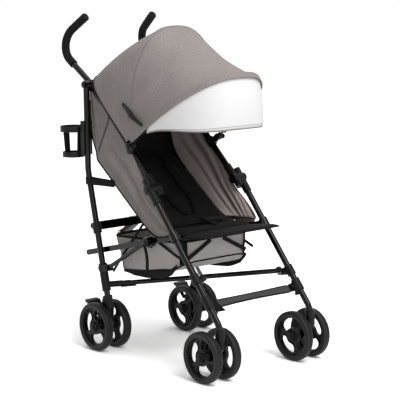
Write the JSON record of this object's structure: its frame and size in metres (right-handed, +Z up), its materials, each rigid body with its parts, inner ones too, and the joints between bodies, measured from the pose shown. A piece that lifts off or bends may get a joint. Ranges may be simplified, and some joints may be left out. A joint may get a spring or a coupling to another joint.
{
  "type": "umbrella stroller",
  "caption": "Folding umbrella stroller with crossed frame bars, twin swivel front wheels, sling seat, storage basket, cup holder and a canopy with a pull-out visor.",
  "frame": {"origin": "on the floor, under the middle of the whole stroller", "axes": "+Z up, -Y is the front, +X is the seated child's left"},
  "size_m": [0.489, 0.8302, 1.0742],
  "materials": {
    "grey_fabric": "heather weave",
    "black_fabric": "plain weave",
    "light_grey_fabric": "plain weave",
    "white_fabric": "plain weave",
    "black_paint": "gloss",
    "black_plastic": "satin",
    "grey_plastic": "satin",
    "wheel_plastic": "matte",
    "foam": "foam",
    "steel": "satin"
  },
  "bodies": {
    "centre": {"seat_sling": "grey_fabric", "seat_pad": "black_fabric", "basket": "light_grey_fabric", "canopy_rear_panel": "grey_fabric", "canopy_rear_bow": "black_plastic", "footrest_strap": "grey_fabric", "recline_straps": "black_fabric"},
    "canopy_front": {"canopy_front_panel": "grey_fabric", "canopy_front_bow": "black_plastic", "canopy_stretchers": "black_plastic"},
    "visor": {"visor": "white_fabric"},
    "backrest": {"backrest_pad": "black_fabric", "harness": "black_fabric"},
    "leg_rest": {"leg_rest": "black_fabric"},
    "right_frame": {"handle_tube_right": "black_paint", "grip_right": "foam", "front_leg_right": "black_paint", "mid_hinge_right": "black_plastic", "top_bracket_right": "black_plastic", "canopy_clip_right": "black_plastic", "front_leg_clamps_right": "black_plastic", "seat_rail_right": "black_paint"},
    "right_rear_leg": {"rear_leg_right": "black_paint", "rear_wheel_housing_right": "black_plastic", "rear_leg_brackets_right": "black_plastic", "rear_axle_right": "steel", "cup_holder": "black_plastic"},
    "right_cross_bar": {"cross_bar_right": "black_paint"},
    "right_brace": {"side_brace_right": "black_paint"},
    "right_arm": {"rear_arm_right": "black_paint"},
    "right_caster": {"caster_fork_right": "black_plastic", "front_axle_right": "steel"},
    "right_brake": {"brake_pedal_right": "black_plastic"},
    "front_wheel_right_outer": {"front_wheel_right_outer": "wheel_plastic"},
    "front_wheel_right_inner": {"front_wheel_right_inner": "wheel_plastic"},
    "rear_wheel_right_outer": {"rear_wheel_right_outer": "wheel_plastic"},
    "rear_wheel_right_inner": {"rear_wheel_right_inner": "wheel_plastic"},
    "left_frame": {"handle_tube_left": "black_paint", "grip_left": "foam", "front_leg_left": "black_paint", "mid_hinge_left": "black_plastic", "top_bracket_left": "black_plastic", "canopy_clip_left": "black_plastic", "front_leg_clamps_left": "black_plastic", "seat_rail_left": "black_paint"},
    "left_rear_leg": {"rear_leg_left": "black_paint", "rear_wheel_housing_left": "black_plastic", "rear_leg_brackets_left": "black_plastic", "rear_axle_left": "steel"},
    "left_cross_bar": {"cross_bar_left": "black_paint"},
    "left_brace": {"side_brace_left": "black_paint"},
    "left_arm": {"rear_arm_left": "black_paint"},
    "left_caster": {"caster_fork_left": "black_plastic", "front_axle_left": "steel"},
    "left_brake": {"brake_pedal_left": "black_plastic"},
    "front_wheel_left_outer": {"front_wheel_left_outer": "wheel_plastic"},
    "front_wheel_left_inner": {"front_wheel_left_inner": "wheel_plastic"},
    "rear_wheel_left_outer": {"rear_wheel_left_outer": "wheel_plastic"},
    "rear_wheel_left_inner": {"rear_wheel_left_inner": "wheel_plastic"},
    "pedal": {"fold_pedal": "grey_plastic"}
  },
  "joints": [
    {"name": "fold", "type": "slide", "parent": "centre", "child": "right_frame", "axis": [1, 0, 0], "range_m": [0, 0.1], "deforming": ["seat_sling", "seat_pad", "basket", "canopy_rear_panel", "canopy_rear_bow", "footrest_strap", "recline_straps", "canopy_front_panel", "canopy_front_bow", "canopy_stretchers", "visor", "backrest_pad", "harness", "leg_rest"]},
    {"name": "left_fold", "type": "slide", "parent": "centre", "child": "left_frame", "axis": [-1, 0, 0], "range_m": [0, 0.1]},
    {"name": "right_rear_leg_swing", "type": "hinge", "parent": "right_frame", "child": "right_rear_leg", "pos_m": [-0.188, 0.254, 0.85], "axis": [-1, 0, 0], "range_deg": [0, 15.1]},
    {"name": "right_cross_bar_swing", "type": "hinge", "parent": "right_frame", "child": "right_cross_bar", "pos_m": [-0.16, -0.26769, 0.295], "axis": [0.69, -0.4654, 0.5544], "range_deg": [0, 58.2]},
    {"name": "right_brace_swing", "type": "hinge", "parent": "right_rear_leg", "child": "right_brace", "pos_m": [-0.188, 0.15882, 0.268], "axis": [-1, 0, 0], "range_deg": [0, 70.1]},
    {"name": "right_arm_swing", "type": "hinge", "parent": "right_rear_leg", "child": "right_arm", "pos_m": [-0.17, 0.24853, 0.391], "axis": [0, 1, 0], "range_deg": [0, 65.8]},
    {"name": "left_rear_leg_swing", "type": "hinge", "parent": "left_frame", "child": "left_rear_leg", "pos_m": [0.188, 0.254, 0.85], "axis": [-1, 0, 0], "range_deg": [0, 15.1]},
    {"name": "left_cross_bar_swing", "type": "hinge", "parent": "left_frame", "child": "left_cross_bar", "pos_m": [0.16, -0.26769, 0.273], "axis": [0.69, 0.4654, -0.5544], "range_deg": [0, 58.2]},
    {"name": "left_brace_swing", "type": "hinge", "parent": "left_rear_leg", "child": "left_brace", "pos_m": [0.188, 0.15882, 0.268], "axis": [-1, 0, 0], "range_deg": [0, 70.1]},
    {"name": "left_arm_swing", "type": "hinge", "parent": "left_rear_leg", "child": "left_arm", "pos_m": [0.17, 0.24853, 0.391], "axis": [0, -1, 0], "range_deg": [0, 65.8]},
    {"name": "pedal_press", "type": "hinge", "parent": "left_arm", "child": "pedal", "pos_m": [0.026, 0.26683, 0.387], "axis": [-1, 0, 0], "range_deg": [0, 20], "stiffness_Nm_per_rad": 1, "springref_deg": -2.86},
    {"name": "right_caster_swivel", "type": "hinge", "parent": "right_frame", "child": "right_caster", "pos_m": [-0.188, -0.376, 0.12], "axis": [0, 0, 1], "continuous": true},
    {"name": "right_brake_press", "type": "hinge", "parent": "right_rear_leg", "child": "right_brake", "pos_m": [-0.188, 0.205, 0.112], "axis": [-1, 0, 0], "range_deg": [0, 20]},
    {"name": "front_wheel_right_outer_roll", "type": "hinge", "parent": "right_caster", "child": "front_wheel_right_outer", "pos_m": [-0.188, -0.34, 0.078], "axis": [1, 0, 0], "continuous": true},
    {"name": "front_wheel_right_inner_roll", "type": "hinge", "parent": "right_caster", "child": "front_wheel_right_inner", "pos_m": [-0.188, -0.34, 0.078], "axis": [1, 0, 0], "continuous": true},
    {"name": "rear_wheel_right_outer_roll", "type": "hinge", "parent": "right_rear_leg", "child": "rear_wheel_right_outer", "pos_m": [-0.188, 0.179, 0.078], "axis": [1, 0, 0], "continuous": true},
    {"name": "rear_wheel_right_inner_roll", "type": "hinge", "parent": "right_rear_leg", "child": "rear_wheel_right_inner", "pos_m": [-0.188, 0.179, 0.078], "axis": [1, 0, 0], "continuous": true},
    {"name": "left_caster_swivel", "type": "hinge", "parent": "left_frame", "child": "left_caster", "pos_m": [0.188, -0.376, 0.12], "axis": [0, 0, 1], "continuous": true},
    {"name": "left_brake_press", "type": "hinge", "parent": "left_rear_leg", "child": "left_brake", "pos_m": [0.188, 0.205, 0.112], "axis": [-1, 0, 0], "range_deg": [0, 20]},
    {"name": "front_wheel_left_outer_roll", "type": "hinge", "parent": "left_caster", "child": "front_wheel_left_outer", "pos_m": [0.188, -0.34, 0.078], "axis": [1, 0, 0], "continuous": true},
    {"name": "front_wheel_left_inner_roll", "type": "hinge", "parent": "left_caster", "child": "front_wheel_left_inner", "pos_m": [0.188, -0.34, 0.078], "axis": [1, 0, 0], "continuous": true},
    {"name": "rear_wheel_left_outer_roll", "type": "hinge", "parent": "left_rear_leg", "child": "rear_wheel_left_outer", "pos_m": [0.188, 0.179, 0.078], "axis": [1, 0, 0], "continuous": true},
    {"name": "rear_wheel_left_inner_roll", "type": "hinge", "parent": "left_rear_leg", "child": "rear_wheel_left_inner", "pos_m": [0.188, 0.179, 0.078], "axis": [1, 0, 0], "continuous": true},
    {"name": "canopy_fold", "type": "hinge", "parent": "centre", "child": "canopy_front", "pos_m": [0, 0.034, 0.672], "axis": [-1, 0, 0], "range_deg": [0, 35]},
    {"name": "visor_tuck", "type": "slide", "parent": "canopy_front", "child": "visor", "axis": [0, 0.9659, 0.2588], "range_m": [0, 0.11]},
    {"name": "recline", "type": "hinge", "parent": "centre", "child": "backrest", "pos_m": [0, -0.05, 0.404], "axis": [1, 0, 0], "range_deg": [0, 25]},
    {"name": "leg_rest_drop", "type": "hinge", "parent": "centre", "child": "leg_rest", "pos_m": [0, -0.166, 0.4], "axis": [1, 0, 0], "range_deg": [0, 60]}
  ],
  "couplings": [
    {"joint": "left_fold", "follows": "fold", "ratio": 1},
    {"joint": "right_rear_leg_swing", "follows": "fold", "rad_per_m": 2.618},
    {"joint": "right_cross_bar_swing", "follows": "fold", "rad_per_m": 10.14},
    {"joint": "right_brace_swing", "follows": "fold", "rad_per_m": 12.217},
    {"joint": "right_arm_swing", "follows": "fold", "rad_per_m": 11.467},
    {"joint": "left_rear_leg_swing", "follows": "fold", "rad_per_m": 2.618},
    {"joint": "left_cross_bar_swing", "follows": "fold", "rad_per_m": 10.14},
    {"joint": "left_brace_swing", "follows": "fold", "rad_per_m": 12.217},
    {"joint": "left_arm_swing", "follows": "fold", "rad_per_m": 11.467}
  ]
}
